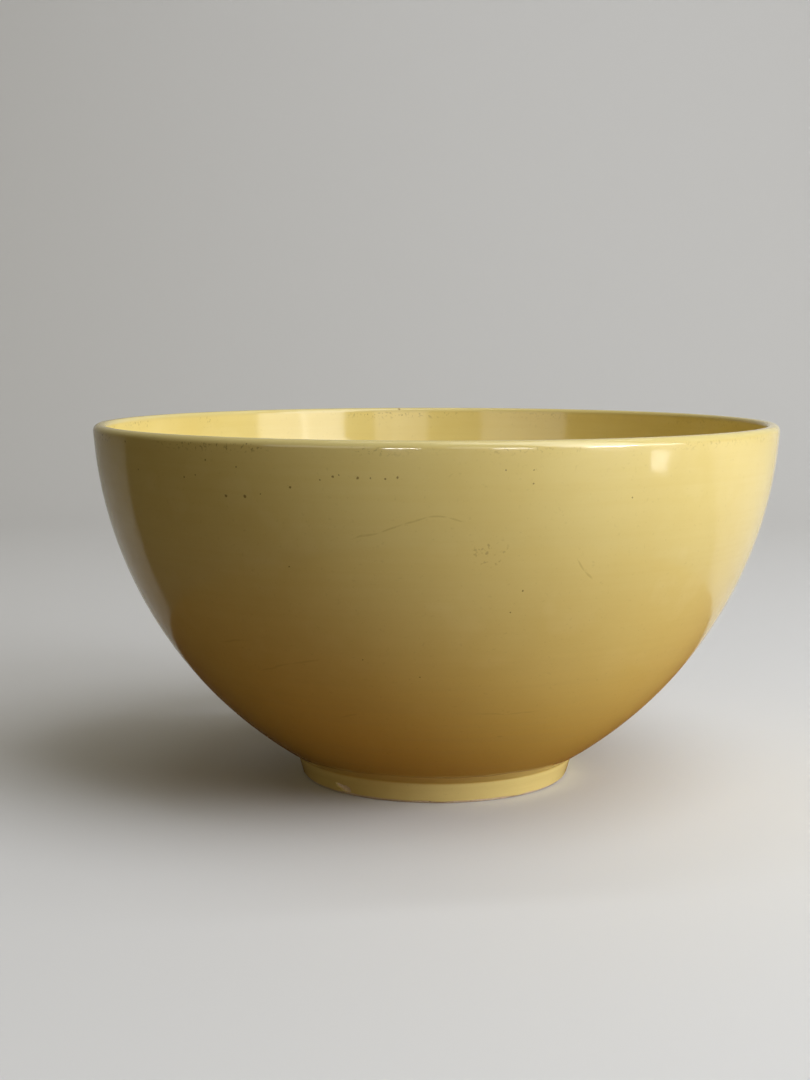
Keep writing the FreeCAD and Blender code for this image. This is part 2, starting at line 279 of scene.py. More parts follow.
def clay_inside():
    """The clay's inner side, from the floor up over the inner half of the lip."""
    return joined(
        arc(BLEND_CENTRE, FLOOR_BLEND + GLAZE, -math.pi / 2, BLEND_BEARING, COARSE),
        arc(INNER_CENTRE, INNER_ARC + GLAZE, BLEND_BEARING, -INNER_LEAN, COARSE),
        inner_lip(0, math.pi - INNER_LEAN, math.pi / 2, HIDDEN_LIP_STEP),
    )


def base_section():
    """The coat in the hollow under the base, from its middle out and down the ring."""
    level = BASE - HOLLOW_POOL
    pool = (hollow_face(level, GLAZE + HOLLOW_POOL), level)
    face_low = (hollow_face(GLAZE_STOP + COAT_EDGE, GLAZE), GLAZE_STOP + COAT_EDGE)
    edge_centre = (face_low[0] + COAT_EDGE, face_low[1])
    stop = (hollow_face(GLAZE_STOP), GLAZE_STOP)
    corner = (hollow_face(CLAY_BASE), CLAY_BASE)
    shown = joined(
        line((0.0, BASE), (pool[0], BASE), BASE_STEP),
        arc(pool, HOLLOW_POOL, math.pi / 2, HOLLOW_LEAN, LIP_STEP),
        line(beyond(pool, HOLLOW_LEAN, HOLLOW_POOL), face_low, FOOT_STEP),
        arc(edge_centre, COAT_EDGE, math.pi + HOLLOW_LEAN, math.pi * 1.5, COAT_EDGE_STEP),
        [stop],
    )
    hidden = joined(
        line(stop, corner, COARSE)[1:],
        line(corner, (0.0, CLAY_BASE), COARSE),
    )
    return shown, hidden


# Where the clay wall meets the level of the clay base, on the face that the foot ring joins.
BASE_EDGE = (wall_at(WALL_CENTRE, WALL_ARC - GLAZE, CLAY_BASE), CLAY_BASE)


def body_section():
    """The clay bowl, which the coats and the foot ring cover."""
    return [], joined(
        line((0.0, CLAY_BASE), BASE_EDGE, COARSE),
        clay_wall(bearing(WALL_CENTRE, BASE_EDGE), -WALL_LEAN),
        outer_lip(0, -WALL_LEAN, math.pi / 2, HIDDEN_LIP_STEP),
        clay_inside()[::-1],
        line((BLEND_CENTRE[0], CLAY_FLOOR), (0.0, CLAY_FLOOR), COARSE),
    )


def ring_section():
    """The clay foot ring, with the rounded edges that it stands on."""
    outer = (foot_face(FOOT_EDGE, -FOOT_EDGE), FOOT_EDGE)
    inner = (hollow_face(FOOT_EDGE, -FOOT_EDGE), FOOT_EDGE)
    top = (RING_HIGH.x, RING_HIGH.z)
    hollow_top = (hollow_face(CLAY_BASE), CLAY_BASE)
    hollow_low = beyond(inner, math.pi + HOLLOW_LEAN, FOOT_EDGE)
    shown = joined(
        line((inner[0], 0.0), (outer[0], 0.0), STANDING_STEP),
        arc(outer, FOOT_EDGE, -math.pi / 2, -FOOT_LEAN, FOOT_EDGE_STEP),
        line(beyond(outer, -FOOT_LEAN, FOOT_EDGE), top, FOOT_STEP),
    )
    hidden = joined(
        clay_wall(bearing(WALL_CENTRE, top), bearing(WALL_CENTRE, BASE_EDGE))[1:],
        line(BASE_EDGE, hollow_top, COARSE),
        line(hollow_top, hollow_low, FOOT_STEP),
        arc(inner, FOOT_EDGE, math.pi + HOLLOW_LEAN, math.pi * 1.5, FOOT_EDGE_STEP)[:-1],
    )
    return shown, hidden


# ---------------------------------------------------------------- meshes


def section_normals(points):
    """Unit normals of an open run of points, on the right of its direction."""
    run = np.gradient(points, axis=0)
    normals = np.stack([run[:, 1], -run[:, 0]], axis=1)
    return normals / np.linalg.norm(normals, axis=1, keepdims=True)


def in_scene(name, data):
    """A new object with this data, in the scene."""
    made = bpy.data.objects.new(name, data)
    bpy.context.scene.collection.objects.link(made)
    return made


def smooth_mesh(name, verts, faces):
    mesh = bpy.data.meshes.new(name)
    mesh.from_pydata(verts, [], faces)
    mesh.polygons.foreach_set("use_smooth", [True] * len(mesh.polygons))
    return mesh


def skin(rows):
    """Faces between each row of vertices and the next, and between the last and the first."""
    faces = []
    for row, below in enumerate(rows):
        above = rows[(row + 1) % len(rows)]
        if below[0] == below[1] and above[0] == above[1]:
            continue
        for here in range(COLUMNS):
            there = (here + 1) % COLUMNS
            corners = [below[here], below[there], above[there], above[here]]
            faces.append(list(dict.fromkeys(corners)))
    return faces


def turned(name, section, worked=None):
    """Turns a closed half section round the axis. worked says how far what shows is sunk and raised."""
    shown, hidden = section
    points = np.array(shown + hidden)
    angles = np.linspace(0, 2 * math.pi, COLUMNS, endpoint=False)
    grid = np.repeat(points[:, None, :], COLUMNS, axis=1)
    if worked is not None:
        front = np.array(shown)
        depth, lift = worked(angles[None, :], front[:, 0:1], front[:, 1:2])
        grid[: len(front)] -= section_normals(front)[:, None, :] * depth[..., None]
        grid[: len(front), :, 1] += lift
    rows = []
    verts = []
    for row, (radius, height) in enumerate(points):
        start = len(verts)
        if radius < ON_AXIS:
            verts.append((0.0, 0.0, grid[row, 0, 1]))
            rows.append([start] * COLUMNS)
            continue
        ring = grid[row]
        verts.extend(zip(ring[:, 0] * np.cos(angles), ring[:, 0] * np.sin(angles), ring[:, 1]))
        rows.append(list(range(start, start + COLUMNS)))
    mesh = smooth_mesh(name, verts, skin(rows))
    mesh.set_sharp_from_angle(angle=SHARP_EDGE)
    return in_scene(name, mesh)


SWAY = 0.00005  # the mean depth of a coat's slow unevenness
SWAY_TWIST = 30  # how far it turns with height, in radians per metre
RIPPLE = 0.000008  # the mean depth of the shallow rings left by turning
RIPPLE_PITCH = 0.011
RIPPLE_WOBBLE = 1.5  # how far the rings rise and fall round the bowl, in radians
RIPPLE_TWIST = 40  # how far they move with the radius, in radians per metre
FADE = 0.012  # how far from the seam and the foot the unevenness takes to build up
STOP_WANDER = 0.0004  # how far at most the glaze's edge on the foot wanders up and down
STOP_WAVES = (3, 7, 13, 22, 31)  # waves round the foot that make up its wandering


def unevenness(angle, radius, height):
    """How deep a coat's surface lies inside the true form, which is 0 or more, and how far it is raised.
    In the sines, the bare numbers are waves round the bowl, and phases that keep them out of step."""
    slow = 2 + np.sin(2 * angle + 0.7) + np.sin(3 * angle + 2.1 + SWAY_TWIST * height)
    wobble = RIPPLE_WOBBLE * np.sin(angle + 0.4)
    rings = 1 + np.sin(2 * math.pi * height / RIPPLE_PITCH + wobble + RIPPLE_TWIST * radius)
    fade = np.clip((CREST - height) / FADE, 0, 1) * np.clip((height - RING_HIGH.z) / FADE, 0, 1)
    foot = np.clip((RING_HIGH.z - height) / (RING_HIGH.z - GLAZE_STOP), 0, 1)
    waves = sum(np.sin(turns * angle + 2.3 * turns) for turns in STOP_WAVES) / len(STOP_WAVES)
    return fade * (SWAY / 2 * slow + RIPPLE * rings), STOP_WANDER * waves * foot**2


def chip_tool():
    """A rough pebble of a mesh, lying in the foot's outer face, that the chip is cut with."""
    turn = math.radians(CHIP[0])
    level = CHIP[1]
    level_out = Vector((math.cos(turn), math.sin(turn), 0))
    out = level_out * math.cos(FOOT_LEAN) - Vector((0, 0, math.sin(FOOT_LEAN)))
    round_foot = Vector((-math.sin(turn), math.cos(turn), 0))
    along = Matrix.Rotation(-CHIP_SLANT, 3, out) @ round_foot
    centre = level_out * foot_face(level, GLAZE) + Vector((0, 0, level))
    centre += out * CHIP_REACH[2] * CHIP_OUT
    axes = (along, out.cross(along), out)
    fitted = Matrix([axis * reach for axis, reach in zip(axes, CHIP_REACH)]).transposed().to_4x4()
    fitted.translation = centre
    pebble = bmesh.new()
    bmesh.ops.create_icosphere(pebble, subdivisions=PEBBLE_DETAIL, radius=1)
    for vert in pebble.verts:
        lump = noise.noise(vert.co * PEBBLE_LUMPS[0])
        grit = noise.noise(vert.co * PEBBLE_GRIT[0] + PEBBLE_GRIT_FROM)
        vert.co *= 1 + PEBBLE_LUMPS[1] * lump + PEBBLE_GRIT[1] * grit
    bmesh.ops.transform(pebble, matrix=fitted, verts=pebble.verts)
    mesh = bpy.data.meshes.new("chip_tool")
    pebble.to_mesh(mesh)
    pebble.free()
    return in_scene("chip_tool", mesh)


def chipped(piece, tool):
    """Cuts the tool's shape out of a piece."""
    cut = piece.modifiers.new("chip", "BOOLEAN")
    cut.operation = "DIFFERENCE"
    cut.object = tool
    cut.solver = "EXACT"
    graph = bpy.context.evaluated_depsgraph_get()
    mesh = bpy.data.meshes.new_from_object(piece.evaluated_get(graph), depsgraph=graph)
    piece.modifiers.clear()
    piece.data = mesh
    mesh.name = piece.name
    mesh.set_sharp_from_angle(angle=SHARP_EDGE)


# ---------------------------------------------------------------- materials


YELLOW = (0.69, 0.58, 0.225, 1)
DEEP_YELLOW = (0.64, 0.51, 0.165, 1)
# The next colour is a painted reflection: soft pale blotches, as of a window's mottled reflection in the
# glaze.
PAINTED_REFLECTION_PALE = (0.80, 0.71, 0.36, 1)
LOWER_ORANGE = (0.76, 0.56, 0.11, 1)
DULL_LIP = (0.55, 0.48, 0.22, 1)
# The next colour is partly thin glaze and partly painted light: the foot catches more light from below.
PALE_AND_LIT_FOOT = (0.89, 0.77, 0.32, 1)
PIT_BROWN = (0.20, 0.14, 0.035, 1)
# The next colour is a painted reflection: the dark shade under the foot, as a thin line on the wall above
# it.
REFLECTED_SHADE_BROWN = (0.36, 0.20, 0.03, 1)
HAIRLINE = (0.42, 0.32, 0.09, 1)
CLAY_BUFF = (0.92, 0.79, 0.58, 1)
CLAY_DARK = (0.78, 0.62, 0.42, 1)
GRIME = (0.30, 0.23, 0.15, 1)

# How strongly each colour covers what is under it.
LOWER_ORANGE_SHARE = 0.85
LIP_SHARE = 0.75
FOOT_SHARE = 0.85
DIRT_SHARE = 0.65
REFLECTED_SHADE_SHARE = 0.75
LINE_SHARE = 0.6
SCUFF_SHARE = 0.8
PIT_SHARE = 0.85

# Where the glaze changes, mostly as heights.
ORANGE_HEIGHTS = (0.010, 0.105)  # it is deeper and more orange in colour towards the lower height
LIP_FADE = (CREST - 0.0024, CREST - 0.0004)
FOOT_FADE = (RING_HIGH.z - 0.0007, RING_HIGH.z + 0.0005)  # it is thin, and pale, below this, and the paleness is partly painted light from below
EDGE_WAVER = 0.0008  # how far the edges at the lip and the foot wander
# A painted reflection, not a mark in the glaze: a thin wavy dark line on the wall a little above the
# foot.
REFLECTED_SHADE_LEVEL = RING_HIGH.z + 0.0039
REFLECTED_SHADE_OUT = RING_HIGH.x * 0.8  # at that level the inside floor is nearer to the axis than this
REFLECTED_SHADE_WANDER = 0.0024
REFLECTED_SHADE_WIDTH = (0.0001, 0.0006)  # half the width of the line's dark core, and of all of it
DIRT_FROM = (CREST - 0.0060, CREST - 0.0030)
DIRT_TO = (CREST - 0.0026, CREST - 0.0016)
DIRT_SIDES = (-0.04, 0.04, 1.0, 0.35)  # most of the dirt is on the left

# Noises: scale, detail and roughness. The range after a noise gives two of its values, and then what
# they turn into, which is 0 and 1 where nothing else is given.
CLOUDS = (22.0, 4.0, 0.55)
CLOUD_RANGE = (0.35, 0.75, 0.0, 0.5)
# Soft pale blotches of painted reflection, all round the bowl.
REFLECTION_BLOTCHES = (42.0, 2.0)
REFLECTION_BLOTCH_RANGE = (0.55, 0.65, 0.0, 0.11)
STREAKS = (1.0, 3.0, 0.6)
STREAK_DRAW = (14.0, 14.0, 380.0)  # its scale across, back and up
STREAK_RANGE = (0.4, 0.7, 0.0, 0.18)
SPECKLE = (700.0, 2.0)
SPECKLE_RANGE = (0.62, 0.8, 0.0, 0.12)
DIRT_PATCHES = (30.0, 3.0)
DIRT_PATCH_RANGE = (0.44, 0.60)
DIRT_GRIT = (850.0, 2.0)
DIRT_GRIT_RANGE = (0.56, 0.66)
REFLECTED_SHADE_NOISE = (60.0, 2.0)
REFLECTED_SHADE_PATCHES = (40.0, 2.0)
REFLECTED_SHADE_PATCH_RANGE = (0.35, 0.6, 0.2, 1.0)
LINE_BREAKS = (420.0,)
LINE_BREAK_RANGE = (0.30, 0.5, 0.5, 1.0)
SCUFF_SPECKS = (620.0, 1.0)
SCUFF_RANGE = (0.58, 0.68)
SMEARS = (16.0, 5.0, 0.6)
SMEAR_ROUGHNESS = (0.3, 0.75, 0.07, 0.15)
SCUFF_ROUGHNESS = 0.4
PEEL = (130.0, 1.0)
BEADS = (520.0, 2.0)
CLAY_GRAIN = (1800.0, 3.0, 0.6)
CLAY_GRAIN_RANGE = (0.35, 0.7)
CLAY_WEAR = (120.0, 4.0)
CLAY_WEAR_RANGE = (0.4, 0.7, 0.0, 0.4)

# Noises that move a place: scale and reach.
PIT_SHIFT = (1500.0, 0.0006)
LINE_SHIFT = (90.0, 0.0022)
# Scattered dots: scale of the cells, size in a cell, and the share of the cells that have none.
LARGE_PITS = (34.0, 0.011, 0.62)
SMALL_PITS = (90.0, 0.016, 0.80)
CLAY_DOTS = (700.0, 0.25, 0.7)
PIT_CORE, PIT_RIM = 0.35, 0.75  # where a pit starts to fade and ends, over its size
MARK_CORE = 0.5  # where a dot, a stroke or the scuffed patch starts to fade, over its reach

# The relief in a bump, with the noise of peel as 1.
STREAK_RELIEF = 0.35
BEAD_RELIEF = 0.9
MARK_RELIEF = -1.2
GLAZE_BUMP = 0.00002
CLAY_BUMP = 0.0001
CLAY_BUMP_STRENGTH = 0.7
GLAZE_IOR = 1.5
CLAY_ROUGHNESS = 0.85
GRIME_TOP = 0.0006  # the clay is grimy below this


def material(name):
    """A new material, with no nodes yet."""
    made = bpy.data.materials.new(name)
    made.use_nodes = True
    made.node_tree.nodes.clear()
    return made


def node(tree, kind, **settings):
    """A new shader node of a kind, with its own settings."""
    made = tree.nodes.new("ShaderNode" + kind)
    for name, value in settings.items():
        setattr(made, name, value)
    return made


def feed(tree, made, **values):
    """Sets a node's inputs by name, or by number as i0: a socket is linked, and a value is written."""
    for name, value in values.items():
        target = made.inputs[int(name[1:])] if name[1:].isdigit() else made.inputs[name.replace("_", " ")]
        if isinstance(value, bpy.types.NodeSocket):
            tree.links.new(value, target)
        else:
            target.default_value = value
    return made


def maths(tree, operation, *values):
    made = node(tree, "Math", operation=operation)
    feed(tree, made, **{f"i{n}": v for n, v in enumerate(values)})
    return made.outputs[0]


def ramped(tree, value, low, high, to_low=0.0, to_high=1.0):
    """A smooth change from one value to another as the input goes from low to high."""
    made = node(tree, "MapRange", interpolation_type="SMOOTHSTEP", clamp=False)
    feed(tree, made, i0=value, i1=low, i2=high, i3=to_low, i4=to_high)
    return made.outputs[0]


def mixed(tree, share, first, second):
    """A colour that goes from the first to the second as share goes from 0 to 1."""
    made = node(tree, "Mix", data_type="RGBA")
    feed(tree, made, i0=share, i6=first, i7=second)
    return made.outputs[2]


def stained(tree, share, strength, colour, stain):
    """The colour with a stain over it, by a share and how strong the stain is at most."""
    return mixed(tree, maths(tree, "MULTIPLY", share, strength), colour, stain)


def distance(tree, place, point):
    """How far a place is from a point."""
    away = node(tree, "VectorMath", operation="DISTANCE")
    feed(tree, away, i0=place, i1=point)
    return away.outputs["Value"]


def finished(tree, **values):
    """Gives a material its shader, with these inputs, and its output."""
    shader = node(tree, "BsdfPrincipled")
    feed(tree, shader, **values)
    out = node(tree, "OutputMaterial")
    feed(tree, out, Surface=shader.outputs[0])


def noise_at(tree, place, scale, detail=2.0, roughness=0.5):
    made = node(tree, "TexNoise")
    feed(tree, made, Vector=place, Scale=scale, Detail=detail, Roughness=roughness)
    return made.outputs["Fac"]


def outside_point(angle, height):
    """The point of the finished outside wall at an angle in degrees and a height."""
    radius = wall_at(WALL_CENTRE, WALL_ARC, height)
    turn = math.radians(angle)
    return Vector((radius * math.cos(turn), radius * math.sin(turn), height))


def rim_point(angle):
    """A point a little way inside the crest of the lip, at an angle in degrees."""
    radius = SEAM_RADIUS - RIM_PIT_IN
    turn = math.radians(angle)
    return Vector((radius * math.cos(turn), radius * math.sin(turn), CREST - RIM_PIT_DOWN))


def shifted(tree, place, scale, reach):
    """A place moved a little by noise, so that round marks and straight lines turn out uneven."""
    wander = node(tree, "TexNoise")
    feed(tree, wander, Vector=place, Scale=scale, Detail=2.0)
    centred = node(tree, "VectorMath", operation="SUBTRACT")
    feed(tree, centred, i0=wander.outputs["Color"], i1=(0.5, 0.5, 0.5))
    moved = node(tree, "VectorMath", operation="MULTIPLY_ADD")
    feed(tree, moved, i0=centred.outputs[0], i1=(reach, reach, reach), i2=place)
    return moved.outputs[0]


# Where many masks are joined, each joins the ones before it as it is made: Cycles works through nodes
# in the order they are made, and has room for only so many values that wait to be joined.


def pit_mask(tree, place):
    """1 in the pinholes of the glaze: the ones listed, and a sparse scatter everywhere."""
    uneven = shifted(tree, place, *PIT_SHIFT)
    top = scattered(tree, uneven, *LARGE_PITS)
    top = maths(tree, "MAXIMUM", top, scattered(tree, uneven, *SMALL_PITS))
    spots = [(outside_point(angle, height), size) for angle, height, size in PITS]
    spots.append((rim_point(RIM_PIT[0]), RIM_PIT[1]))
    for spot, size in spots:
        away = distance(tree, uneven, spot)
        pit = ramped(tree, away, size * PIT_CORE, size * PIT_RIM, 1.0, 0.0)
        top = maths(tree, "MAXIMUM", top, pit)
    return top


def scattered(tree, place, scale, size, rarity):
    """Small round marks in some of the cells of a Voronoi pattern."""
    cells = node(tree, "TexVoronoi")
    feed(tree, cells, Vector=place, Scale=scale)
    dot = ramped(tree, cells.outputs["Distance"], size * MARK_CORE, size, 1.0, 0.0)
    pick = node(tree, "SeparateColor")
    feed(tree, pick, i0=cells.outputs["Color"])
    chosen = maths(tree, "GREATER_THAN", pick.outputs[0], rarity)
    return maths(tree, "MULTIPLY", dot, chosen)


def stroke_mask(tree, place, start, end, strength):
    """As high as strength along a thin stroke that tapers to its ends, and reaches into the wall."""
    along = (end - start) / 2
    middle = (start + end) / 2
    out = Vector((middle.x, middle.y, 0)).normalized()
    across = out.cross(along).normalized()
    turn = Matrix((along.normalized(), across, along.normalized().cross(across))).transposed()
    stroke = node(tree, "Mapping", vector_type="TEXTURE")
    feed(tree, stroke, Vector=place, Location=middle, Rotation=turn.to_euler())
    feed(tree, stroke, Scale=(along.length * STROKE_OVERLAP, LINE_WIDTH / 2, MARK_DEPTH))
    away = node(tree, "VectorMath", operation="LENGTH")
    feed(tree, away, i0=stroke.outputs[0])
    return ramped(tree, away.outputs["Value"], MARK_CORE, 1.0, strength, 0.0)


def line_mask(tree, place):
    """As high as its strength along each hairline or scratch, and partly broken up by noise."""
    wavy = shifted(tree, place, *LINE_SHIFT)
    top = 0.0
    for start, end, strength in LINES:
        mark = stroke_mask(tree, wavy, outside_point(*start), outside_point(*end), strength)
        top = maths(tree, "MAXIMUM", top, mark)
    broken = ramped(tree, noise_at(tree, place, *LINE_BREAKS), *LINE_BREAK_RANGE)
    return maths(tree, "MULTIPLY", top, broken)


def scuff_mask(tree, place):
    """1 in the speckles of the scuffed patch."""
    angle, height, reach = SCUFF
    spot = node(tree, "Mapping", vector_type="TEXTURE")
    feed(tree, spot, Vector=place, Location=outside_point(angle, height))
    feed(tree, spot, Rotation=(0, 0, math.radians(angle)), Scale=(MARK_DEPTH, reach, reach))
    away = node(tree, "VectorMath", operation="LENGTH")
    feed(tree, away, i0=spot.outputs[0])
    patch = ramped(tree, away.outputs["Value"], MARK_CORE, 1.0, 1.0, 0.0)
    specks = ramped(tree, noise_at(tree, place, *SCUFF_SPECKS), *SCUFF_RANGE)
    return maths(tree, "MULTIPLY", patch, specks)


def rim_specks(tree, place, across, height):
    """1 in the specks of dirt that lie in patches under the lip, most of them on the left."""
    above = ramped(tree, height, *DIRT_FROM)
    below = ramped(tree, height, *DIRT_TO, 1.0, 0.0)
    patches = ramped(tree, noise_at(tree, place, *DIRT_PATCHES), *DIRT_PATCH_RANGE)
    grit = ramped(tree, noise_at(tree, place, *DIRT_GRIT), *DIRT_GRIT_RANGE)
    band = maths(tree, "MULTIPLY", above, below)
    band = maths(tree, "MULTIPLY", band, ramped(tree, across, *DIRT_SIDES))
    return maths(tree, "MULTIPLY", band, maths(tree, "MULTIPLY", patches, grit))


def painted_reflection_line(tree, place, height):
    """1 along a thin wavy dark line a little above the foot: a painted reflection of the shade under the
    foot.
    """
    uneven = noise_at(tree, place, *REFLECTED_SHADE_NOISE)
    wander = maths(tree, "MULTIPLY_ADD", uneven, REFLECTED_SHADE_WANDER, -REFLECTED_SHADE_WANDER / 2)
    off = maths(tree, "SUBTRACT", maths(tree, "ADD", height, wander), REFLECTED_SHADE_LEVEL)
    thin = ramped(tree, maths(tree, "ABSOLUTE", off), *REFLECTED_SHADE_WIDTH, 1.0, 0.0)
    patchy = ramped(tree, noise_at(tree, place, *REFLECTED_SHADE_PATCHES), *REFLECTED_SHADE_PATCH_RANGE)
    away = distance(tree, place, (0.0, 0.0, REFLECTED_SHADE_LEVEL))
    outside = maths(tree, "GREATER_THAN", away, REFLECTED_SHADE_OUT)
    return maths(tree, "MULTIPLY", maths(tree, "MULTIPLY", thin, patchy), outside)


def turning_streaks(tree, place):
    """Noise drawn out into level streaks, as on a surface that was turned."""
    drawn = node(tree, "VectorMath", operation="MULTIPLY")
    feed(tree, drawn, i0=place, i1=STREAK_DRAW)
    return noise_at(tree, drawn.outputs[0], *STREAKS)


def unmarked_colour(tree, place, height):
    """The glaze's colour without marks, with two of the masks that make it: the lip and the streaks."""
    clouds = noise_at(tree, place, *CLOUDS)
    colour = mixed(tree, ramped(tree, clouds, *CLOUD_RANGE), YELLOW, DEEP_YELLOW)
    # Painted reflections: soft pale blotches, as of a window's mottled reflection in the glaze.
    reflection_blotches = ramped(tree, noise_at(tree, place, *REFLECTION_BLOTCHES), *REFLECTION_BLOTCH_RANGE)
    colour = mixed(tree, reflection_blotches, colour, PAINTED_REFLECTION_PALE)
    lower_orange = ramped(tree, height, *ORANGE_HEIGHTS, LOWER_ORANGE_SHARE, 0.0)
    colour = mixed(tree, lower_orange, colour, LOWER_ORANGE)
    edge_height = maths(tree, "ADD", height, maths(tree, "MULTIPLY", clouds, EDGE_WAVER))
    lip = ramped(tree, edge_height, *LIP_FADE)
    # The paler foot is partly thin glaze and partly painted light from below.
    foot = ramped(tree, edge_height, *FOOT_FADE, FOOT_SHARE, 0.0)
    colour = stained(tree, lip, LIP_SHARE, colour, DULL_LIP)
    colour = mixed(tree, foot, colour, PALE_AND_LIT_FOOT)
    streaks = turning_streaks(tree, place)
    colour = mixed(tree, ramped(tree, streaks, *STREAK_RANGE), colour, DEEP_YELLOW)
    speckle = noise_at(tree, place, *SPECKLE)
    colour = mixed(tree, ramped(tree, speckle, *SPECKLE_RANGE), colour, PIT_BROWN)
    return colour, lip, streaks


def glaze_material():
    """Glossy opaque yellow glaze: duller on the lip, paler on the foot partly as painted light, deeper
    orange lower down.
    """
    made = material("yellow_glaze")
    tree = made.node_tree
    place = node(tree, "NewGeometry").outputs["Position"]
    split = node(tree, "SeparateXYZ")
    feed(tree, split, i0=place)
    across, height = split.outputs["X"], split.outputs["Z"]

    colour, lip, streaks = unmarked_colour(tree, place, height)
    colour = stained(tree, rim_specks(tree, place, across, height), DIRT_SHARE, colour, PIT_BROWN)
    # A painted reflection of the dark shade under the foot, as a line on the wall above it.
    colour = stained(tree, painted_reflection_line(tree, place, height), REFLECTED_SHADE_SHARE, colour, REFLECTED_SHADE_BROWN)
    lines = line_mask(tree, place)
    colour = stained(tree, lines, LINE_SHARE, colour, HAIRLINE)
    scuffs = scuff_mask(tree, place)
    colour = stained(tree, scuffs, SCUFF_SHARE, colour, HAIRLINE)
    pits = pit_mask(tree, place)
    colour = stained(tree, pits, PIT_SHARE, colour, PIT_BROWN)

    roughness = ramped(tree, noise_at(tree, place, *SMEARS), *SMEAR_ROUGHNESS)
    rubbed = maths(tree, "MULTIPLY", scuffs, SCUFF_ROUGHNESS)
    roughness = maths(tree, "MAXIMUM", roughness, rubbed)

    relief = maths(tree, "MULTIPLY_ADD", streaks, STREAK_RELIEF, noise_at(tree, place, *PEEL))
    beads = maths(tree, "MULTIPLY", lip, noise_at(tree, place, *BEADS))
    relief = maths(tree, "MULTIPLY_ADD", beads, BEAD_RELIEF, relief)
    marks = maths(tree, "MAXIMUM", pits, maths(tree, "MAXIMUM", scuffs, lines))
    relief = maths(tree, "MULTIPLY_ADD", marks, MARK_RELIEF, relief)
    bump = node(tree, "Bump")
    feed(tree, bump, Height=relief, Strength=1.0, Distance=GLAZE_BUMP)
    finished(tree, Base_Color=colour, Roughness=roughness, Normal=bump.outputs[0], IOR=GLAZE_IOR)
    return made


def clay_material():
    """Matt buff clay with fine grain, grimy where it stands."""
    made = material("buff_clay")
    tree = made.node_tree
    place = node(tree, "NewGeometry").outputs["Position"]
    split = node(tree, "SeparateXYZ")
    feed(tree, split, i0=place)
    grain = noise_at(tree, place, *CLAY_GRAIN)
    colour = mixed(tree, ramped(tree, grain, *CLAY_GRAIN_RANGE), CLAY_BUFF, CLAY_DARK)
    colour = mixed(tree, scattered(tree, place, *CLAY_DOTS), colour, GRIME)
    worn = ramped(tree, noise_at(tree, place, *CLAY_WEAR), *CLAY_WEAR_RANGE)
    low = ramped(tree, split.outputs["Z"], 0.0, GRIME_TOP, 1.0, 0.0)
    colour = mixed(tree, maths(tree, "MULTIPLY", low, worn), colour, GRIME)
    bump = node(tree, "Bump")
    feed(tree, bump, Height=grain, Strength=CLAY_BUMP_STRENGTH, Distance=CLAY_BUMP)
    finished(tree, Base_Color=colour, Roughness=CLAY_ROUGHNESS, Normal=bump.outputs[0])
    return made


# ---------------------------------------------------------------- the bowl


def stand_in(piece, cad_node, finish):
    """Gives a piece its material and its place in the frame."""
    piece.data.materials.append(finish)
    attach(piece, "root")
    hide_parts(cad_node)


def build_bowl():
    """The five pieces, each in the place of its CAD node."""
    glaze = glaze_material()
    clay = clay_material()
    outside = turned("outside_coat", outside_section(), unevenness)
    inside = turned("inside_coat", inside_section(), unevenness)
    base = turned("base_coat", base_section(), unevenness)
    bowl = turned("clay_bowl", body_section())
    foot = turned("clay_foot", ring_section())
    stand_in(outside, "outside_glaze", glaze)
    stand_in(inside, "inside_glaze", glaze)
    stand_in(base, "base_glaze", glaze)
    stand_in(bowl, "bowl_body", clay)
    stand_in(foot, "foot_ring", clay)
    tool = chip_tool()
    chipped(outside, tool)
    chipped(foot, tool)
    bpy.data.objects.remove(tool)


# ---------------------------------------------------------------- stage, light and camera

SENSOR = 36.0  # in millimetres, as the lens
LENS = 55.97
CAMERA_PLACE = (0.0, -0.69926, 0.18124)
CAMERA_DOWN = math.radians(6.808)
CAMERA_LEFT = math.radians(1.032)
CAMERA_CLIP = (0.01, 50)

FLOOR_PALE = (0.62, 0.64, 0.68, 1)
FLOOR_ROUGHNESS = 0.7
FLOOR_SIDES = (-9.0, 9.0)
FLOOR_FRONT = -9.0
SWEEP_START = 0.95  # where the floor begins to curve up, behind the bowl
SWEEP_RADIUS = 1.1
SWEEP_STEP = 0.03
SWEEP_TOP = 3.5

# What the floor sends back to the bowl: the room that the bowl stands in, below the table's level.
TABLE_MIDDLE = (0.02, -0.04, 0.0)
TABLE_REACH = 0.245
TABLE_DIM = (0.10, 0.036, 0.002, 1)
TABLE_LIT = (0.29, 0.105, 0.009, 1)
WALL_LINE = 0.04  # the white wall starts this far behind the bowl's axis, and further back on the left
WALL_LINE_LEFT = (-0.55, -0.07)  # the line's slope there, and where it would cross the middle
WALL_DIM = (0.42, 0.42, 0.42, 1)
WALL_BRIGHT = (0.72, 0.72, 0.72, 1)
ROOM_DIM = (0.04, 0.035, 0.03, 1)
ROOM_BRIGHT = (0.40, 0.37, 0.33, 1)
ROOM_SPAN = (-0.45, 0.55)  # from the dim side of the room to the bright one


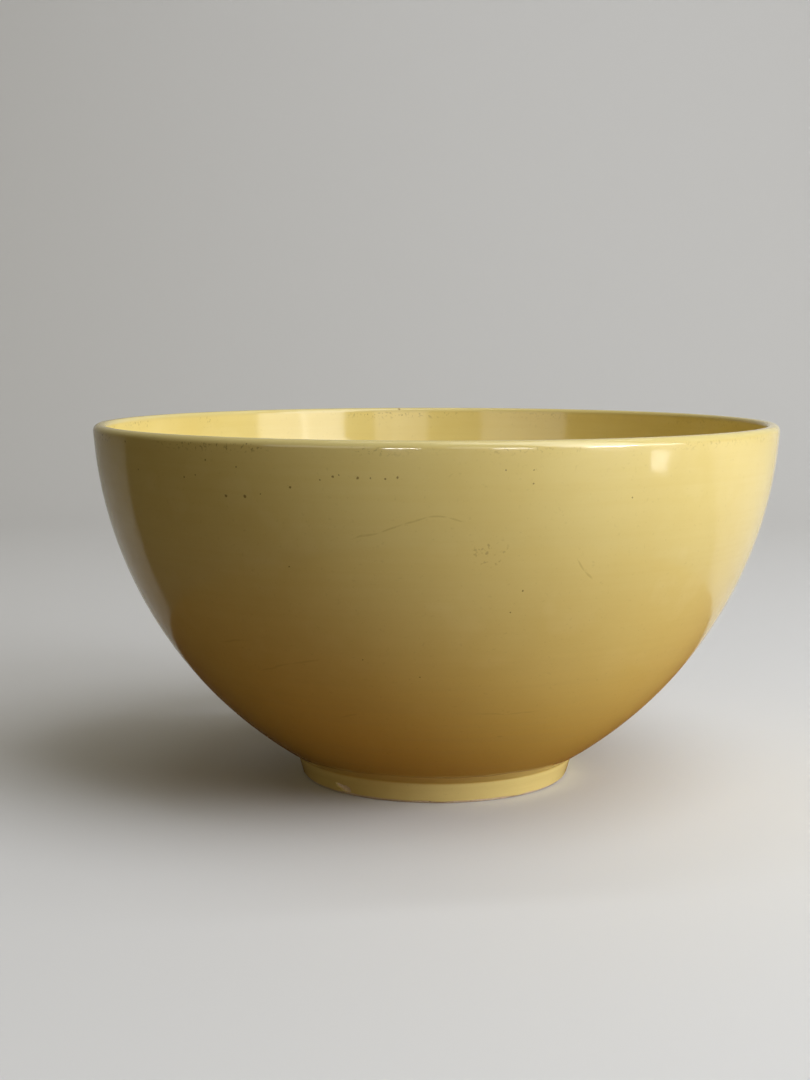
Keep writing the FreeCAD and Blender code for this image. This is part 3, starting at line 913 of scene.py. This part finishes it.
def floor_material():
    """Plain and pale to look at. The light that it sends back to the bowl is that of a round wooden
    table top in front of a white wall, which a floor all of one colour would make too bright."""
    made = material("pale_floor")
    tree = made.node_tree
    place = node(tree, "NewGeometry").outputs["Position"]
    split = node(tree, "SeparateXYZ")
    feed(tree, split, i0=place)
    across, back = split.outputs["X"], split.outputs["Y"]
    side = ramped(tree, across, *ROOM_SPAN)
    wall = mixed(tree, side, WALL_DIM, WALL_BRIGHT)
    room = mixed(tree, side, ROOM_DIM, ROOM_BRIGHT)
    line_left = maths(tree, "MULTIPLY_ADD", across, *WALL_LINE_LEFT)
    wall_starts = maths(tree, "MAXIMUM", line_left, WALL_LINE)
    sent_back = mixed(tree, maths(tree, "GREATER_THAN", back, wall_starts), room, wall)
    on_table = maths(tree, "LESS_THAN", distance(tree, place, TABLE_MIDDLE), TABLE_REACH)
    sent_back = mixed(tree, on_table, sent_back, mixed(tree, side, TABLE_DIM, TABLE_LIT))
    seen = node(tree, "LightPath").outputs["Is Camera Ray"]
    finished(tree, Base_Color=mixed(tree, seen, sent_back, FLOOR_PALE), Roughness=FLOOR_ROUGHNESS)
    return made


def build_stage():
    """A floor that curves up into the wall behind, with no line between them."""
    bend = arc((SWEEP_START, SWEEP_RADIUS), SWEEP_RADIUS, -math.pi / 2, 0, SWEEP_STEP)
    profile = [(FLOOR_FRONT, 0.0)] + bend + [(bend[-1][0], SWEEP_TOP)]
    left, right = FLOOR_SIDES
    verts = [(across, back, up) for back, up in profile for across in (left, right)]
    faces = [(n, n + 1, n + 3, n + 2) for n in range(0, len(verts) - 2, 2)]
    mesh = smooth_mesh("floor", verts, faces)
    mesh.materials.append(floor_material())
    sheet = in_scene("floor", mesh)


MIDDLE = (0.0, 0.0, 0.08)
LIGHT_DISTANCE = 1.6
# Soft lights: bearing to the right of the camera and rise, in degrees, then width, height and power.
WINDOW = (50, 30, 0.86, 0.9, 12.4)
WINDOW_LOW = (80, 14, 1.4, 0.8, 14.2)
CEILING = (50, 65, 0.9, 0.9, 9.4)
# The light on the wall behind: its place, the point it faces, its width, height and power.
WALL_LIGHT = ((0.5, 0.5, 2.3), (0.2, 2.05, 0.9), 2.4, 0.4, 16.0)


def soft_light(name, bearing_right, rise, width, tall, power):
    """A soft light that faces the middle of the bowl."""
    turn, up = math.radians(bearing_right), math.radians(rise)
    way = Vector((math.sin(turn) * math.cos(up), -math.cos(turn) * math.cos(up), math.sin(up)))
    return panel(name, Vector(MIDDLE) + way * LIGHT_DISTANCE, MIDDLE, width, tall, power)


def panel(name, place, aim, width, tall, power):
    """A rectangular light that the camera doesn't see, facing the point aimed at."""
    data = bpy.data.lights.new(name, "AREA")
    data.shape = "RECTANGLE"
    data.size, data.size_y = width, tall
    data.energy = power
    lamp = in_scene(name, data)
    lamp.location = place
    lamp.rotation_euler = (Vector(aim) - Vector(place)).to_track_quat("-Z", "Y").to_euler()
    lamp.visible_camera = False
    return lamp


# Strips that only show as reflections, on the lip: bearing to the right, width and brightness.
GLINTS = [(-10.0, 0.28, 26.0), (23.0, 0.31, 22.0), (54.5, 0.48, 36.0), (72.0, 0.50, 12.0)]
GLINT_TALL = 0.15
GLINT_LEVEL = 0.09
CARD_PLACE = (0.506, -0.220, 0.049)  # the small bright card that the wall reflects under the lip
CARD_AIM = (0.078, -0.116, 0.139)
CARD_SIZE = (0.058, 0.040)
CARD_BRIGHTNESS = 5.0
# Panes of a window that the inside wall reflects: bearing to the right, width and brightness.
PANES = [(46.0, 0.50, 4.8), (64.0, 0.60, 3.6), (14.0, 0.60, 2.0), (-36.0, 1.0, 1.5)]
PANE_TALL = 0.62
PANE_LEVEL = 0.39


def glint(name, bearing_right, level, width, tall, brightness):
    """An upright panel that adds a highlight, and nothing to how brightly anything is lit."""
    turn = math.radians(bearing_right)
    place = (LIGHT_DISTANCE * math.sin(turn), -LIGHT_DISTANCE * math.cos(turn), level)
    lamp = panel(name, place, (0, 0, level), width, tall, brightness * math.pi * width * tall)
    lamp.visible_diffuse = False


def build_lights():
    """Soft light from the right, light on the wall behind, and panels that only show as reflections."""
    soft_light("window", *WINDOW)
    soft_light("window_low", *WINDOW_LOW).visible_glossy = False
    soft_light("ceiling", *CEILING)
    panel("wall_light", *WALL_LIGHT)
    for number, (bearing_right, width, brightness) in enumerate(GLINTS):
        glint(f"glint_{number}", bearing_right, GLINT_LEVEL, width, GLINT_TALL, brightness)
    for number, (bearing_right, width, brightness) in enumerate(PANES):
        glint(f"pane_{number}", bearing_right, PANE_LEVEL, width, PANE_TALL, brightness)
    power = CARD_BRIGHTNESS * math.pi * CARD_SIZE[0] * CARD_SIZE[1]
    panel("card", CARD_PLACE, CARD_AIM, *CARD_SIZE, power).visible_diffuse = False


ROOM_LIGHT = (0.205, 0.166, 0.086, 1)  # what the room sends from all round
ROOM_SEEN = (0.42, 0.42, 0.43, 1)  # what shows of it past the floor's ends, from other sides


def build_world():
    """The room's light from all round, which looks grey to the camera."""
    world = bpy.data.worlds.new("room")
    bpy.context.scene.world = world
    world.use_nodes = True
    tree = world.node_tree
    tree.nodes.clear()
    seen = node(tree, "LightPath").outputs["Is Camera Ray"]
    backdrop = node(tree, "Background")
    feed(tree, backdrop, Color=mixed(tree, seen, ROOM_LIGHT, ROOM_SEEN), Strength=1.0)
    out = node(tree, "OutputWorld")
    feed(tree, out, Surface=backdrop.outputs[0])


def build_camera():
    data = bpy.data.cameras.new("camera")
    data.lens = LENS
    data.sensor_width = SENSOR
    data.clip_start, data.clip_end = CAMERA_CLIP
    camera = in_scene("camera", data)
    camera.location = CAMERA_PLACE
    camera.rotation_euler = (math.pi / 2 - CAMERA_DOWN, 0, CAMERA_LEFT)
    bpy.context.scene.camera = camera


build_camera()
build_bowl()
build_stage()
build_lights()
build_world()
bpy.context.scene.view_settings.view_transform = "Standard"
